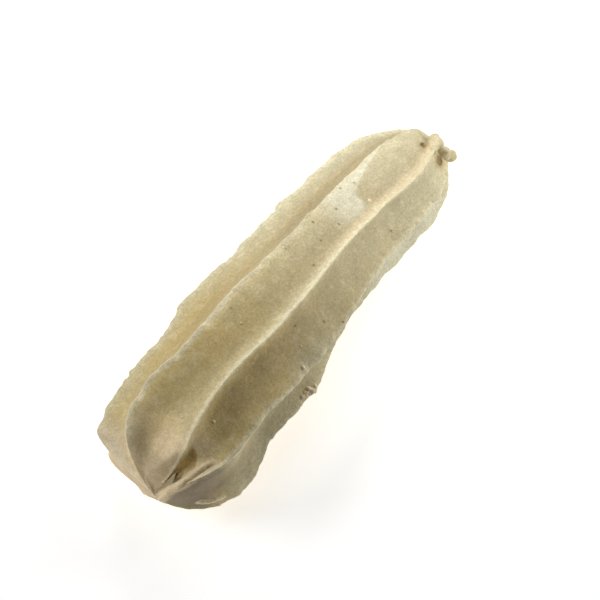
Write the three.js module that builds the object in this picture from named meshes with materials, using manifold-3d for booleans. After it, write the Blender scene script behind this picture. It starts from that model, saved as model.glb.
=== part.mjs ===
// A churro: one short, thick finger of raw dough, piped through a star nozzle with eight points.
// One end was pinched off to a blunt tip, and the other was torn and keeps a ragged nub.
//
// Millimetres, +Z up.  +X runs from the pinched end to the torn end, and z = 0 is the table.
// A bearing is an angle round the churro's centre line, in degrees: 0 is straight up, 90 is to
// the right and -90 to the left for someone who looks along +X.

import * as THREE from "three";
import { mergeVertices } from "three/addons/utils/BufferGeometryUtils.js";
import Module from "manifold-3d";

// ---- The whole churro: values at even stations from the pinched end to the torn end ----
const PINCH_X = -50;
const TORN_X = 46.9;
const GIRTH = [15.0, 15.2, 14.6, 12.8, 11.6]; // centre line to the ridges' crests
const SWAY = [-2.9, -0.2, 0.4, 0.5, -2.3]; // the centre line's y
const RISE = [11.0, 12.5, 12.0, 10.6, 9.6]; // the centre line's z
const PINCH_PULL = -0.9; // how far the pinch drew the tip aside, in y
const PINCH_REACH = 9; // how far from the tip that is felt

// ---- The eight ridges, clockwise from the upper left ----
// bearing: where the crest lies; proud: how far it stands out from the girth; pinchRound and
// tornRound: how far from each end its crest starts to round off.  Of the trough after it, floor:
// where its deepest line lies, 0 at this ridge and 1 at the next; depth: as a share of the
// radius; bowl: how round its two sides are, 1 is straight; soft: how blunt the two crests are on
// that side, as a share of the side.
const PLAIN_TROUGH = { floor: [0.5], depth: [0.2], bowl: [2.2, 2.2], soft: [0.1, 0.1] };
const RIDGES = [
  {
    ...PLAIN_TROUGH,
    bearing: [-65.4, -71, -68.5, -68.7, -68.9, -65, -63.3, -60.4, -58.3],
    proud: [1.1, 1.1, -0.4, 0.6, -0.5, -0.2, 0, 0.3, 0.1],
    pinchRound: 2.5,
    tornRound: 16.9,
    floor: [0.6, 0.5, 0.5, 0.55, 0.55],
    depth: [0.11, 0.155, 0.175, 0.19, 0.185, 0.185],
    bowl: [2.2, 2.6],
    soft: [0.1, 0.03],
  },
  {
    bearing: [-33.7, -38.3, -24.2, -22.5, -18, -15.6, -15.4, -18.6, -23.2],
    proud: [0],
    pinchRound: 7.7,
    tornRound: 14,
    floor: [0.36, 0.62, 0.7, 0.7, 0.72, 0.75],
    depth: [0.32, 0.19, 0.17, 0.145, 0.15, 0.19],
    bowl: [1.8, 3.0],
    soft: [0.25, 0.05],
  },
  {
    bearing: [23, 16, 17.7, 24.1, 25.7, 26, 29.4, 30.2, 14.7],
    proud: [0],
    pinchRound: 6.9,
    tornRound: 10,
    floor: [0.32, 0.35, 0.4, 0.38, 0.36],
    depth: [0.215, 0.19, 0.17, 0.155, 0.16, 0.165],
    bowl: [3.5, 2.4],
    soft: [0.05, 0.1],
  },
  {
    ...PLAIN_TROUGH,
    bearing: [28.7, 53.1, 61.3, 72, 72.2, 68.2, 70.3, 69.9, 68.6],
    proud: [0],
    pinchRound: 5.8,
    tornRound: 22.3,
  },
  {
    ...PLAIN_TROUGH,
    bearing: [99.1, 111.1, 97, 98.3, 105.2, 101.6, 106.6, 103.5, 109.4],
    proud: [-0.7, 1.2, -0.2, 1.0, -1.4, -1.3, 0, 0.3, 0.3],
    pinchRound: 19.4,
    tornRound: 20.8,
  },
  { ...PLAIN_TROUGH, bearing: [155, 157, 155, 157, 158], proud: [-0.5], pinchRound: 25, tornRound: 20 },
  { ...PLAIN_TROUGH, bearing: [205, 203, 202, 203, 205], proud: [-0.5], pinchRound: 4, tornRound: 14 },
  { ...PLAIN_TROUGH, bearing: [248, 248, 248, 250, 255], proud: [-0.4], pinchRound: 3, tornRound: 18 },
];
const END_POWER = 2.2; // how square the rounded ends are
const WAVER = { size: 0.14, length: 11 }; // how a crest strays in and out along its length
const RIPPLE = { share: 0.5, pace: 1.7 }; // a smaller, quicker wave on that one
const RIDGE_PHASE = 2.1; // radians from one ridge's waves to the next one's

// ---- The flat that the pinch left across the end of ridge 2, on its left side ----
// It is the plane through a point with that normal, swollen by `bulge` within `size` of its
// middle, and its edge is `soft`.  It ends at the flank of the ridge before, which goes on falling
// at creaseSlope beyond the floor of the trough between them.  That floor is drawn to the ridge
// before within `reach` of the tip.
const FACET = {
  ridge: 2,
  reach: 5,
  creaseSlope: 1.5,
  soft: 0.8,
  through: new THREE.Vector3(-43.2, -6.2, 25.5),
  normal: new THREE.Vector3(-0.86, -0.38, 0.341).normalize(),
  middle: new THREE.Vector3(-46.9, -3.6, 18.8),
  size: 6,
  bulge: 0.3,
};
const STEEPEST = 0.05; // a line that leaves the flat at less than this slope is taken as this
const FAR_OUT = 100; // the radius of a line that never meets the flat

// ---- Strips of dough left by the pinch and the tear, and the holes beside them ----
// Each strip follows its path.  It stands `proud` of the path, on the side away from a point
// inside the churro, and is rooted `sink` below it.  The pocket beside the lip is a strip that is
// cut away.
const LIP = {
  path: [
    [-50, -5.4, 11.4],
    [-49.2, -7.5, 17.9],
    [-48, -9.1, 20.7],
    [-46, -10.1, 21.9],
    [-43.8, -10.7, 22.2],
    [-41, -11.4, 21.9],
  ],
  inside: new THREE.Vector3(-41, -3, 12),
  width: [0.9, 1.2, 1.3, 1.3, 1.3, 1.1],
  proud: [0.5, 0.6, 0.7, 0.7, 0.7, 0.4],
  sink: 1.6,
};
const FLAP = {
  path: [
    [-46.3, -12, 12.3],
    [-44.9, -13.1, 11.3],
    [-43.5, -13.9, 10.4],
    [-42, -14.5, 9.5],
  ],
  inside: new THREE.Vector3(-41, -3, 12),
  width: [0.6, 0.9, 0.9, 0.5],
  proud: [0.1, 0.3, 0.3, 0.1],
  sink: 1.2,
};
const POCKET = {
  path: [
    [-40.8, -7.4, 23.6],
    [-43, -7.9, 21.6],
    [-45, -7.9, 20.2],
    [-47.9, -7.7, 19.1],
  ],
  inside: new THREE.Vector3(-41, -3, 12),
  width: [1.2, 2.6, 2.4, 1.6],
  proud: [1.5, 1.5, 1.5, 1.5],
  sink: 1.2,
};
const NUB = {
  path: [
    [40.6, -6, 19.7],
    [42.5, -5, 18.7],
    [43.8, -4.8, 17.7],
    [43.8, -6.4, 15.7],
    [45.4, -7.5, 12.7],
  ],
  inside: new THREE.Vector3(38, -5, 10),
  width: [1.0, 2.6, 2.8, 2.3, 2.2],
  proud: [0.3, 0.8, 1.0, 1.0, 0.9],
  sink: 1.6,
};
const STRIP_SHOULDER = { side: 0.5, height: 0.3 }; // of its section: sideways as a share of the
const STRIP_TOP = { side: 0.3, height: 1 }; // width, and upwards as a share of `proud`
const KNOBS = [
  { centre: [45.4, -7.6, 12.7], radii: [1.3, 1.2, 1.4] },
  { centre: [44.1, -3.9, 17.9], radii: [1.1, 1.0, 0.9] },
];
const PITS = [
  { centre: [-46.1, -7.1, 19.3], radii: [0.8, 0.6, 0.9] },
  { centre: [41, -3, 18.6], radii: [0.6, 0.5, 0.7] },
  { centre: [41.4, -7.3, 16.2], radii: [1.3, 0.9, 1.5] },
];

// ---- How finely it is divided ----
const RINGS = 60;
const STEPS_PER_TROUGH = 8;
const END_SHARE = 0.12; // the share of the rings, at each end, that crowd towards it
const STRIP_STEPS = 14;
const BLOB_STEPS = 10;
const WELD = 1e-5; // points closer than this are one

const LENGTH = TORN_X - PINCH_X;

/** Smooth (Catmull-Rom) value of an evenly spaced list, at u from 0 to 1. */
function along(values, u) {
  const last = values.length - 1;
  if (last === 0) {
    return values[0];
  }
  const position = THREE.MathUtils.clamp(u, 0, 1) * last;
  const i = Math.min(Math.floor(position), last - 1);
  const f = position - i;
  const here = values[i];
  const next = values[i + 1];
  const slopeHere = (next - values[Math.max(i - 1, 0)]) / 2;
  const slopeNext = (values[Math.min(i + 2, last)] - here) / 2;
  const ease = f * f * (3 - 2 * f);
  return here + (next - here) * ease + f * (1 - f) * (slopeHere * (1 - f) - slopeNext * f);
}

/** A quarter of a superellipse: 0 at the end of the churro and 1 from `round` mm on. */
function roundOff(distance, round, power) {
  const q = THREE.MathUtils.clamp(distance / round, 0, 1);
  return (1 - (1 - q) ** power) ** (1 / power);
}

/** The x of ring k of 0 to 1: evenly spaced, but crowding towards both ends. */
function ringX(k) {
  const q = Math.min(k, 1 - k) / END_SHARE;
  const walked = (END_SHARE * (q < 1 ? q * q : 2 * q - 1)) / 2;
  const distance = (LENGTH * walked) / (1 - END_SHARE);
  return k < 0.5 ? PINCH_X + distance : TORN_X - distance;
}

/** The point at a bearing and a radius from the centre line. */
function place(x, bearing, radius) {
  const u = (x - PINCH_X) / LENGTH;
  const angle = THREE.MathUtils.degToRad(bearing);
  const nearness = Math.max(1 - (x - PINCH_X) / PINCH_REACH, 0);
  const y = along(SWAY, u) + PINCH_PULL * nearness ** 2 - radius * Math.sin(angle);
  return new THREE.Vector3(x, y, along(RISE, u) + radius * Math.cos(angle));
}

/** Bearing and radius of a ridge's crest; ridge 8 is ridge 0 after a full turn. */
function crest(count, x) {
  const index = count % RIDGES.length;
  const turn = count < RIDGES.length ? 0 : 360;
  const ridge = RIDGES[index];
  const u = (x - PINCH_X) / LENGTH;
  const phase = (2 * Math.PI * x) / WAVER.length + RIDGE_PHASE * index;
  const waver = WAVER.size * (Math.sin(phase) + RIPPLE.share * Math.sin(RIPPLE.pace * phase));
  const pinched = roundOff(x - PINCH_X, ridge.pinchRound, END_POWER);
  const torn = roundOff(TORN_X - x, ridge.tornRound, END_POWER);
  return {
    bearing: along(ridge.bearing, u) + turn,
    radius: (along(GIRTH, u) + along(ridge.proud, u) + waver) * pinched * torn,
  };
}

/** How deep a ridge's trough is at w, 0 on one crest and 1 on the next: 0 there, 1 on its floor. */
function dip(ridge, w, floor) {
  const side = w < floor ? 0 : 1;
  const across = w < floor ? w / floor : (1 - w) / (1 - floor);
  const soft = ridge.soft[side];
  const m = (Math.hypot(across, soft) - soft) / (Math.hypot(1, soft) - soft);
  return 1 - Math.max(1 - m, 0) ** ridge.bowl[side];
}

/** A radius made no more than the pinch's flat allows; the corner between the two is rounded. */
function facetCut(x, bearing, radius) {
  const from = place(x, bearing, 0);
  const direction = place(x, bearing, 1).sub(from);
  const slope = FACET.normal.dot(direction);
  const gap = FACET.normal.dot(new THREE.Vector3().subVectors(FACET.through, from));
  const steep = Math.max(slope, STEEPEST);
  const away = place(x, bearing, Math.max(gap, 0) / steep).distanceTo(FACET.middle) / FACET.size;
  const swollen = Math.max(gap + FACET.bulge * Math.max(1 - away ** 2, 0), 0);
  const flat = slope > 0 ? swollen / steep : FAR_OUT;
  return (radius + flat - Math.hypot(radius - flat, FACET.soft)) / 2;
}

/** The skin between ridge i and the next one, at w across the trough. */
function skin(i, w, x) {
  const ridge = RIDGES[i];
  const u = (x - PINCH_X) / LENGTH;
  const here = crest(i, x);
  const next = crest(i + 1, x);
  const beforeFacet = i === FACET.ridge - 1;
  if (i === FACET.ridge) {
    here.radius = facetCut(x, here.bearing, here.radius);
  }
  const bearing = THREE.MathUtils.lerp(here.bearing, next.bearing, w);
  const drawn = beforeFacet ? roundOff(x - PINCH_X, FACET.reach, 2) : 1;
  const floor = along(ridge.floor, u) * drawn;
  const between = THREE.MathUtils.lerp(here.radius, next.radius, w);
  const radius = between * (1 - along(ridge.depth, u) * dip(ridge, w, floor));
  if (!beforeFacet) {
    return place(x, bearing, radius);
  }
  const flank = radius - FACET.creaseSlope * Math.max(w - floor, 0) * between;
  return place(x, bearing, Math.max(facetCut(x, bearing, radius), flank));
}

/** A closed geometry from rings of points, each a right-handed turn about the way they go. */
function closedLoft(rings, firstPoint, lastPoint) {
  const count = rings[0].length;
  const points = [firstPoint, ...rings.flat(), lastPoint];
  const end = points.length - 1;
  const index = [];
  for (let j = 0; j < count; j++) {
    const k = (j + 1) % count;
    index.push(0, 1 + k, 1 + j);
    for (let ring = 0; ring < rings.length - 1; ring++) {
      const a = 1 + ring * count;
      const b = a + count;
      index.push(a + j, a + k, b + k, a + j, b + k, b + j);
    }
    const a = 1 + (rings.length - 1) * count;
    index.push(end, a + j, a + k);
  }
  const geometry = new THREE.BufferGeometry().setFromPoints(points);
  geometry.setIndex(index);
  return geometry;
}

/** The piped body: eight ridges, with a trough between each two. */
function bodyGeometry() {
  const rings = [];
  for (let ring = 1; ring < RINGS; ring++) {
    const x = ringX(ring / RINGS);
    const points = [];
    for (let i = 0; i < RIDGES.length; i++) {
      for (let step = 0; step < STEPS_PER_TROUGH; step++) {
        const w = (1 - Math.cos((Math.PI * step) / STEPS_PER_TROUGH)) / 2;
        points.push(skin(i, w, x));
      }
    }
    rings.push(points);
  }
  return closedLoft(rings, place(PINCH_X, 0, 0), place(TORN_X, 0, 0));
}

/** The middle of a ring of points. */
function middleOf(ring) {
  const sum = ring.reduce((total, point) => total.add(point), new THREE.Vector3());
  return sum.divideScalar(ring.length);
}

/** A strip of dough along a path, with a rounded top, rooted inside the churro. */
function stripGeometry({ path, inside, width, proud, sink }) {
  const curve = new THREE.CatmullRomCurve3(path.map((point) => new THREE.Vector3(...point)));
  const { side, height } = STRIP_SHOULDER;
  const rings = [];
  for (let step = 0; step <= STRIP_STEPS; step++) {
    const u = step / STRIP_STEPS;
    const spine = curve.getPoint(u);
    const ahead = curve.getTangent(u);
    const out = spine.clone().sub(inside).normalize();
    out.addScaledVector(ahead, -out.dot(ahead)).normalize();
    const across = new THREE.Vector3().crossVectors(out, ahead);
    const wide = along(width, u);
    const high = along(proud, u);
    const section = [
      [-side * wide, -sink],
      [side * wide, -sink],
      [side * wide, height * high],
      [STRIP_TOP.side * wide, STRIP_TOP.height * high],
      [-STRIP_TOP.side * wide, STRIP_TOP.height * high],
      [-side * wide, height * high],
    ];
    rings.push(
      section.map(([sideways, upwards]) =>
        spine.clone().addScaledVector(across, sideways).addScaledVector(out, upwards),
      ),
    );
  }
  return closedLoft(rings, middleOf(rings[0]), middleOf(rings[rings.length - 1]));
}

/** An ellipsoid. */
function blobGeometry({ centre, radii }) {
  const geometry = new THREE.SphereGeometry(1, BLOB_STEPS, BLOB_STEPS);
  return geometry.scale(...radii).translate(...centre);
}

/** Everything below the table, which flattens the ridges that the churro lies on. */
function tableGeometry() {
  const side = 2 * LENGTH;
  return new THREE.BoxGeometry(side, side, side).translate(0, 0, -side / 2);
}

const wasm = await Module();
wasm.setup();

/** A manifold solid from a closed geometry. */
function solid(geometry) {
  const bare = geometry.clone();
  bare.deleteAttribute("normal");
  bare.deleteAttribute("uv");
  const merged = mergeVertices(bare, WELD);
  const mesh = new wasm.Mesh({
    numProp: 3,
    vertProperties: new Float32Array(merged.attributes.position.array),
    triVerts: new Uint32Array(merged.index.array),
  });
  return new wasm.Manifold(mesh);
}

/** A three.js geometry from a manifold solid. */
function geometryOf(manifold) {
  const mesh = manifold.getMesh();
  const geometry = new THREE.BufferGeometry();
  geometry.setAttribute("position", new THREE.BufferAttribute(new Float32Array(mesh.vertProperties), 3));
  geometry.setIndex(new THREE.BufferAttribute(new Uint32Array(mesh.triVerts), 1));
  geometry.computeVertexNormals();
  return geometry;
}

/** The whole churro as one solid, with the middle of its base at the origin. */
function churroGeometry() {
  let churro = solid(bodyGeometry()).subtract(solid(stripGeometry(POCKET)));
  for (const strip of [LIP, FLAP, NUB]) {
    churro = churro.add(solid(stripGeometry(strip)));
  }
  for (const knob of KNOBS) {
    churro = churro.add(solid(blobGeometry(knob)));
  }
  for (const pit of PITS) {
    churro = churro.subtract(solid(blobGeometry(pit)));
  }
  churro = churro.subtract(solid(tableGeometry()));
  const geometry = geometryOf(churro);
  geometry.computeBoundingBox();
  const middle = geometry.boundingBox.getCenter(new THREE.Vector3());
  return geometry.translate(-middle.x, -middle.y, 0);
}

const dough = new THREE.MeshStandardMaterial({ color: 0xc8bb96, roughness: 0.8, metalness: 0 });
const churro = new THREE.Mesh(churroGeometry(), dough);
churro.name = "churro";

const group = new THREE.Group();
group.add(churro);

export default group;
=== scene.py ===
"""A churro of raw piped dough: eight ridges, one end pinched off and the other torn.

Sizes are in millimetres until a mesh is made.  +X runs from the pinched end to the torn end and
+Z is up.  A bearing is an angle round the centre line in degrees: 0 is straight up, 90 is to the
right and -90 to the left for someone who looks along +X.
"""

from __future__ import annotations

import logging
from collections.abc import Mapping
from dataclasses import dataclass, field
from enum import Enum
from functools import partialmethod

import bmesh
import bpy
import numpy as np
from bpy.types import ID, Material, Mesh, NodeSocket, Object
from mathutils import Matrix, Vector


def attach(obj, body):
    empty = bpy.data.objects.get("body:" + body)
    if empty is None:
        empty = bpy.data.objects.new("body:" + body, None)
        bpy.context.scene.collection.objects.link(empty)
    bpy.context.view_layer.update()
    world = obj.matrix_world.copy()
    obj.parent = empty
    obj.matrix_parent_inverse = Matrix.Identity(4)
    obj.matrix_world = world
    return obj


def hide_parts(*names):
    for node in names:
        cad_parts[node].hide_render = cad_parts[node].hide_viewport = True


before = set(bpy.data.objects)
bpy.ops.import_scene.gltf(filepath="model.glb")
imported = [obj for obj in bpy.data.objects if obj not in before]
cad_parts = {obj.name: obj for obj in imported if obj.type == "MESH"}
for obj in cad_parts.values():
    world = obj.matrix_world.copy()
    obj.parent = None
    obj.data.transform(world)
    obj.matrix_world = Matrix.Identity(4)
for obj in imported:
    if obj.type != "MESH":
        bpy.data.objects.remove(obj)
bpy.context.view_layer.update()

Array = np.ndarray
Row = tuple[float, ...]
Triple = tuple[float, float, float]
Colour = tuple[float, float, float, float]
MM = 0.001
NOTHING = 1e-9  # the least that anything is divided by
LOG = logging.getLogger("churro")


class Slot(Enum):
    """The record's material slots."""

    DOUGH = "dough"


class Body(Enum):
    """The bodies that pieces ride on."""

    ROOT = "root"


class Mark(Enum):
    """Values that the dough's mesh carries at its points, each from 0 to 1."""

    CREST = "crest"
    DRY = "dry"
    OLIVE = "olive"
    # Painted shade along the troughs' floors, up trough 0's flank to ridge 1 and under the lip.
    PAINTED_HOLLOW_SHADE = "deep"
    # Painted light and shade in patches, about an even dimming of all the dough.
    PAINTED_LIGHT_AND_SHADE = "dim"
    # Flour on troughs 1 and 3, and painted light near the tips of troughs 0 and 2.
    FLOUR_AND_PAINTED_LIGHT = "flour"
    BLUSH = "blush"
    STAIN = "stain"


# ---- Shapes worked out as whole arrays ----


def along(values: Row, u: Array) -> Array:
    """Smooth value of an evenly spaced list: a cubic whose slopes are the list's own.

    Args:
        values: what it passes through.
        u: how far along the list, from 0 to 1.

    Returns:
        The value at each u.
    """
    points = np.asarray(values, float)
    last = len(points) - 1
    if last == 0:
        return points[0] + 0 * u
    position = np.clip(u, 0, 1) * last
    i = np.minimum(position.astype(int), last - 1)
    f = position - i
    here, after = points[i], points[i + 1]
    slope_here = (after - points[np.maximum(i - 1, 0)]) / 2
    slope_after = (points[np.minimum(i + 2, last)] - here) / 2
    ease = f * f * (3 - 2 * f)
    return here + (after - here) * ease + f * (1 - f) * (slope_here * (1 - f) - slope_after * f)


def round_off(distance: Array, reach: float, power: float) -> Array:
    """A quarter of a superellipse: 0 at the end, 1 from `reach` mm on.

    Args:
        distance: from the end, in mm.
        reach: where the rounding starts.
        power: 1 is a straight slope, 2 is round, more is squarer.

    Returns:
        The share of the full radius.
    """
    q = np.clip(distance / reach, 0, 1)
    return (1 - (1 - q) ** power) ** (1 / power)


def unit(vectors: Array) -> Array:
    """Vectors of length one, along the last axis."""
    return vectors / np.maximum(np.linalg.norm(vectors, axis=-1, keepdims=True), NOTHING)


@dataclass(frozen=True)
class Ramp:
    """A straight step from 0 at `none` to 1 at `full`, which stays 0 and 1 beyond them.

    Across a trough it comes up to `slant` mm sooner, and within `curl_width` of the trough's start
    up to `curl` mm later.
    """

    none: float
    full: float
    slant: float = 0.0
    curl: float = 0.0
    curl_width: float = 0.45

    def at(self, value: Array, w: Array | float = 0.0) -> Array:
        """The step at a value, and at w across a trough."""
        bent = self.curl * np.maximum(1 - w / self.curl_width, 0) ** 2
        return np.clip((value + self.slant * w - bent - self.none) / (self.full - self.none), 0, 1)


@dataclass(frozen=True)
class Patch:
    """Where a mark is raised or lowered by `amount`.

    It lies on some troughs, within all its ramps along x and across w, and in its soft spot, if it
    has one, with a middle and a reach along x in mm.
    """

    troughs: tuple[int, ...]
    amount: float
    along: tuple[Ramp, ...] = ()
    across: tuple[Ramp, ...] = ()
    spot: tuple[float, float] | None = None

    def at(self, trough: int, x: Array, w: Array) -> Array | float:
        """What it adds at x and w of a trough."""
        if trough not in self.troughs:
            return 0.0
        total = self.amount + 0 * x
        for ramp in self.along:
            total = total * ramp.at(x, w)
        for ramp in self.across:
            total = total * ramp.at(w)
        if self.spot:
            total = total * np.exp(-(((x - self.spot[0]) / self.spot[1]) ** 2))
        return total


@dataclass(frozen=True)
class Grain:
    """Smooth noise in space: random heights at whole numbers, eased between, repeating at size."""

    seed: int = 7
    size: int = 64

    def at(self, points: Array, pitch: float | Triple) -> Array:
        """Noise at points: a trilinear blend of the eight heights round each.

        Args:
            points: places, in mm, with x, y, z on the last axis.
            pitch: from one random height to the next, in mm.

        Returns:
            A value from -1 to 1 at each point.
        """
        table = np.random.default_rng(self.seed).uniform(-1, 1, (self.size,) * 3)
        scaled = points / np.asarray(pitch, float)
        low = np.floor(scaled).astype(int)
        f = scaled - low
        f = f * f * (3 - 2 * f)
        total = np.zeros(points.shape[:-1])
        for corner in range(8):
            step = np.array([corner & 1, corner >> 1 & 1, corner >> 2 & 1])
            cell = (low + step) % self.size
            weight = np.prod(np.where(step, f, 1 - f), axis=-1)
            total += weight * table[cell[..., 0], cell[..., 1], cell[..., 2]]
        return total

    def layered(self, points: Array, pitch: float, layers: int) -> Array:
        """Noise with finer and fainter noise on it: each layer half as long and half as high."""
        shares = [0.5**k for k in range(layers)]
        parts = [self.at(points + 17.3 * k, pitch * 0.5**k) * s for k, s in enumerate(shares)]
        return sum(parts) / sum(shares)


GRAIN = Grain()


@dataclass
class Shape:
    """Points in mm, and the faces between them."""

    points: Array
    faces: list[tuple[int, ...]]

    def mesh(self, name: str) -> Mesh:
        """A smooth mesh, in metres."""
        mesh = bpy.data.meshes.new(name)
        mesh.from_pydata((self.points * MM).tolist(), [], self.faces)
        mesh.shade_smooth()
        mesh.update()
        return mesh


def joined(shapes: list[Shape]) -> Shape:
    """Shapes as one."""
    faces, start = [], 0
    for shape in shapes:
        faces += [tuple(i + start for i in face) for face in shape.faces]
        start += len(shape.points)
    return Shape(np.concatenate([shape.points for shape in shapes]), faces)


def closed_loft(rings: Array, first: Array, last: Array) -> Shape:
    """A closed skin over rings of points, with a point at each end.

    Each ring is a right-handed turn about the way that the rings go, so that the faces look out.

    Args:
        rings: places of rings x points x 3.
        first: the point before the first ring.
        last: the point after the last ring.

    Returns:
        The skin.
    """
    count, sides, _ = rings.shape
    points = np.concatenate([rings.reshape(-1, 3), first[None], last[None]])
    j = np.arange(sides)
    k = (j + 1) % sides
    base = (np.arange(count - 1) * sides)[:, None]
    quads = np.stack([base + j, base + k, base + sides + k, base + sides + j], -1).reshape(-1, 4)
    start, end = count * sides, count * sides + 1
    top = (count - 1) * sides
    head = np.stack([0 * j + start, k, j], -1)
    tail = np.stack([0 * j + end, top + j, top + k], -1)
    faces = [tuple(f) for part in (quads, head, tail) for f in part.tolist()]
    return Shape(points, faces)


# ---- The dough's form ----


@dataclass(frozen=True)
class Ridge:
    """One ridge, and the trough after it.

    bearing: where its crest lies; proud: how far that stands out from the girth; pinch_round and
    torn_round: how far from each end it starts to round off.  Of the trough, floor: where its
    deepest line lies, 0 at this ridge and 1 at the next; depth: a share of the radius; bowl: how
    round its two sides are, 1 is straight; soft: how blunt their crests are, as shares of them;
    columns: points across.  Of the colours, rim: how far the crest's dry band reaches before and
    after it, in mm; dry: how pale it is; deep: how much painted shade darkens the trough.
    """

    bearing: Row
    proud: Row
    pinch_round: float
    torn_round: float
    floor: Row = (0.5,)
    depth: Row = (0.2,)
    bowl: tuple[float, float] = (2.2, 2.2)
    soft: tuple[float, float] = (0.1, 0.1)
    columns: int = 30
    rim: tuple[float, float] = (0.6, 0.6)
    dry: Row = (0.5,)
    deep: Row = (0.25,)


@dataclass(frozen=True)
class Facet:
    """The flat that the pinch left across the end of a ridge, on its left side.

    It is the plane through a point with that normal, swollen by `bulge` within `size` of its
    middle, and its edge is `soft`.  It ends at the flank of the ridge before, which goes on
    falling at crease_slope beyond the floor of the trough between them, and that floor is drawn to
    the ridge before within `reach` mm of the tip.  A radius that meets the plane at a slope under
    `steepest` is taken at that slope, and one that never meets it ends `far_out`.
    """

    ridge: int = 2
    reach: float = 5.0
    crease_slope: float = 1.5
    soft: float = 0.8
    steepest: float = 0.05
    far_out: float = 100.0
    through: Triple = (-43.2, -6.2, 25.5)
    normal: Triple = (-0.860, -0.380, 0.341)
    middle: Triple = (-46.9, -3.6, 18.8)
    size: float = 6.0
    bulge: float = 0.3


RIDGES = (
    Ridge(
        bearing=(-65.4, -71, -68.5, -68.7, -68.9, -65, -63.3, -60.4, -58.3),
        proud=(1.1, 1.1, -0.4, 0.6, -0.5, -0.2, 0, 0.3, 0.1),
        pinch_round=2.5, torn_round=16.9, floor=(0.6, 0.5, 0.5, 0.55, 0.55),
        depth=(0.11, 0.155, 0.175, 0.19, 0.185, 0.185), bowl=(2.2, 2.6), soft=(0.1, 0.03),
        rim=(1, 1.1),
        dry=(0.6, 0.6, 0.7, 0.8, 0.8),
        deep=(0, 0.55, 0.85, 0.8, 0.95, 0.95, 0.8),
    ),
    Ridge(
        bearing=(-33.7, -38.3, -24.2, -22.5, -18, -15.6, -15.4, -18.6, -23.2),
        proud=(0,),
        pinch_round=7.7, torn_round=14, floor=(0.36, 0.62, 0.7, 0.7, 0.72, 0.75),
        depth=(0.32, 0.19, 0.17, 0.145, 0.15, 0.19), bowl=(1.8, 3), soft=(0.25, 0.05),
        columns=34, rim=(0.35, 1),
        dry=(1, 1.2, 1.1, 0.8, 0.4, 0.1, 0.1),
        deep=(0.1, 0, 0.5, 0.4, 0.55, 0.6, 0.5, 0.3),
    ),
    Ridge(
        bearing=(23, 16, 17.7, 24.1, 25.7, 26, 29.4, 30.2, 14.7),
        proud=(0,),
        pinch_round=6.9, torn_round=10, floor=(0.32, 0.35, 0.4, 0.38, 0.36),
        depth=(0.215, 0.19, 0.17, 0.155, 0.16, 0.165), bowl=(3.5, 2.4), soft=(0.05, 0.1),
        columns=34, rim=(0.8, 0.4),
        dry=(0.6, 0.8, 1, 1, 0.8, 0.5, 0.3),
        deep=(0, 0, 0.6, 0.45, 0.25, 0.2, 0.1, 0),
    ),
    Ridge(
        bearing=(28.7, 53.1, 61.3, 72, 72.2, 68.2, 70.3, 69.9, 68.6),
        proud=(0,),
        pinch_round=5.8, torn_round=22.3, rim=(0.8, 0.8),
        dry=(0.8, 1, 0.8, 0.7, 0.5),
        deep=(0.3, 0.3, 0.1, 0, 0),
    ),
    Ridge(
        bearing=(99.1, 111.1, 97, 98.3, 105.2, 101.6, 106.6, 103.5, 109.4),
        proud=(-0.7, 1.2, -0.2, 1, -1.4, -1.3, 0, 0.3, 0.3),
        pinch_round=19.4, torn_round=20.8, columns=20,
    ),
    Ridge(bearing=(155, 157, 155, 157, 158), proud=(-0.5,), pinch_round=25, torn_round=20, columns=18),
    Ridge(bearing=(205, 203, 202, 203, 205), proud=(-0.5,), pinch_round=4, torn_round=14, columns=18),
    Ridge(bearing=(248, 248, 248, 250, 255), proud=(-0.4,), pinch_round=3, torn_round=18, columns=22),
)


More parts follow.
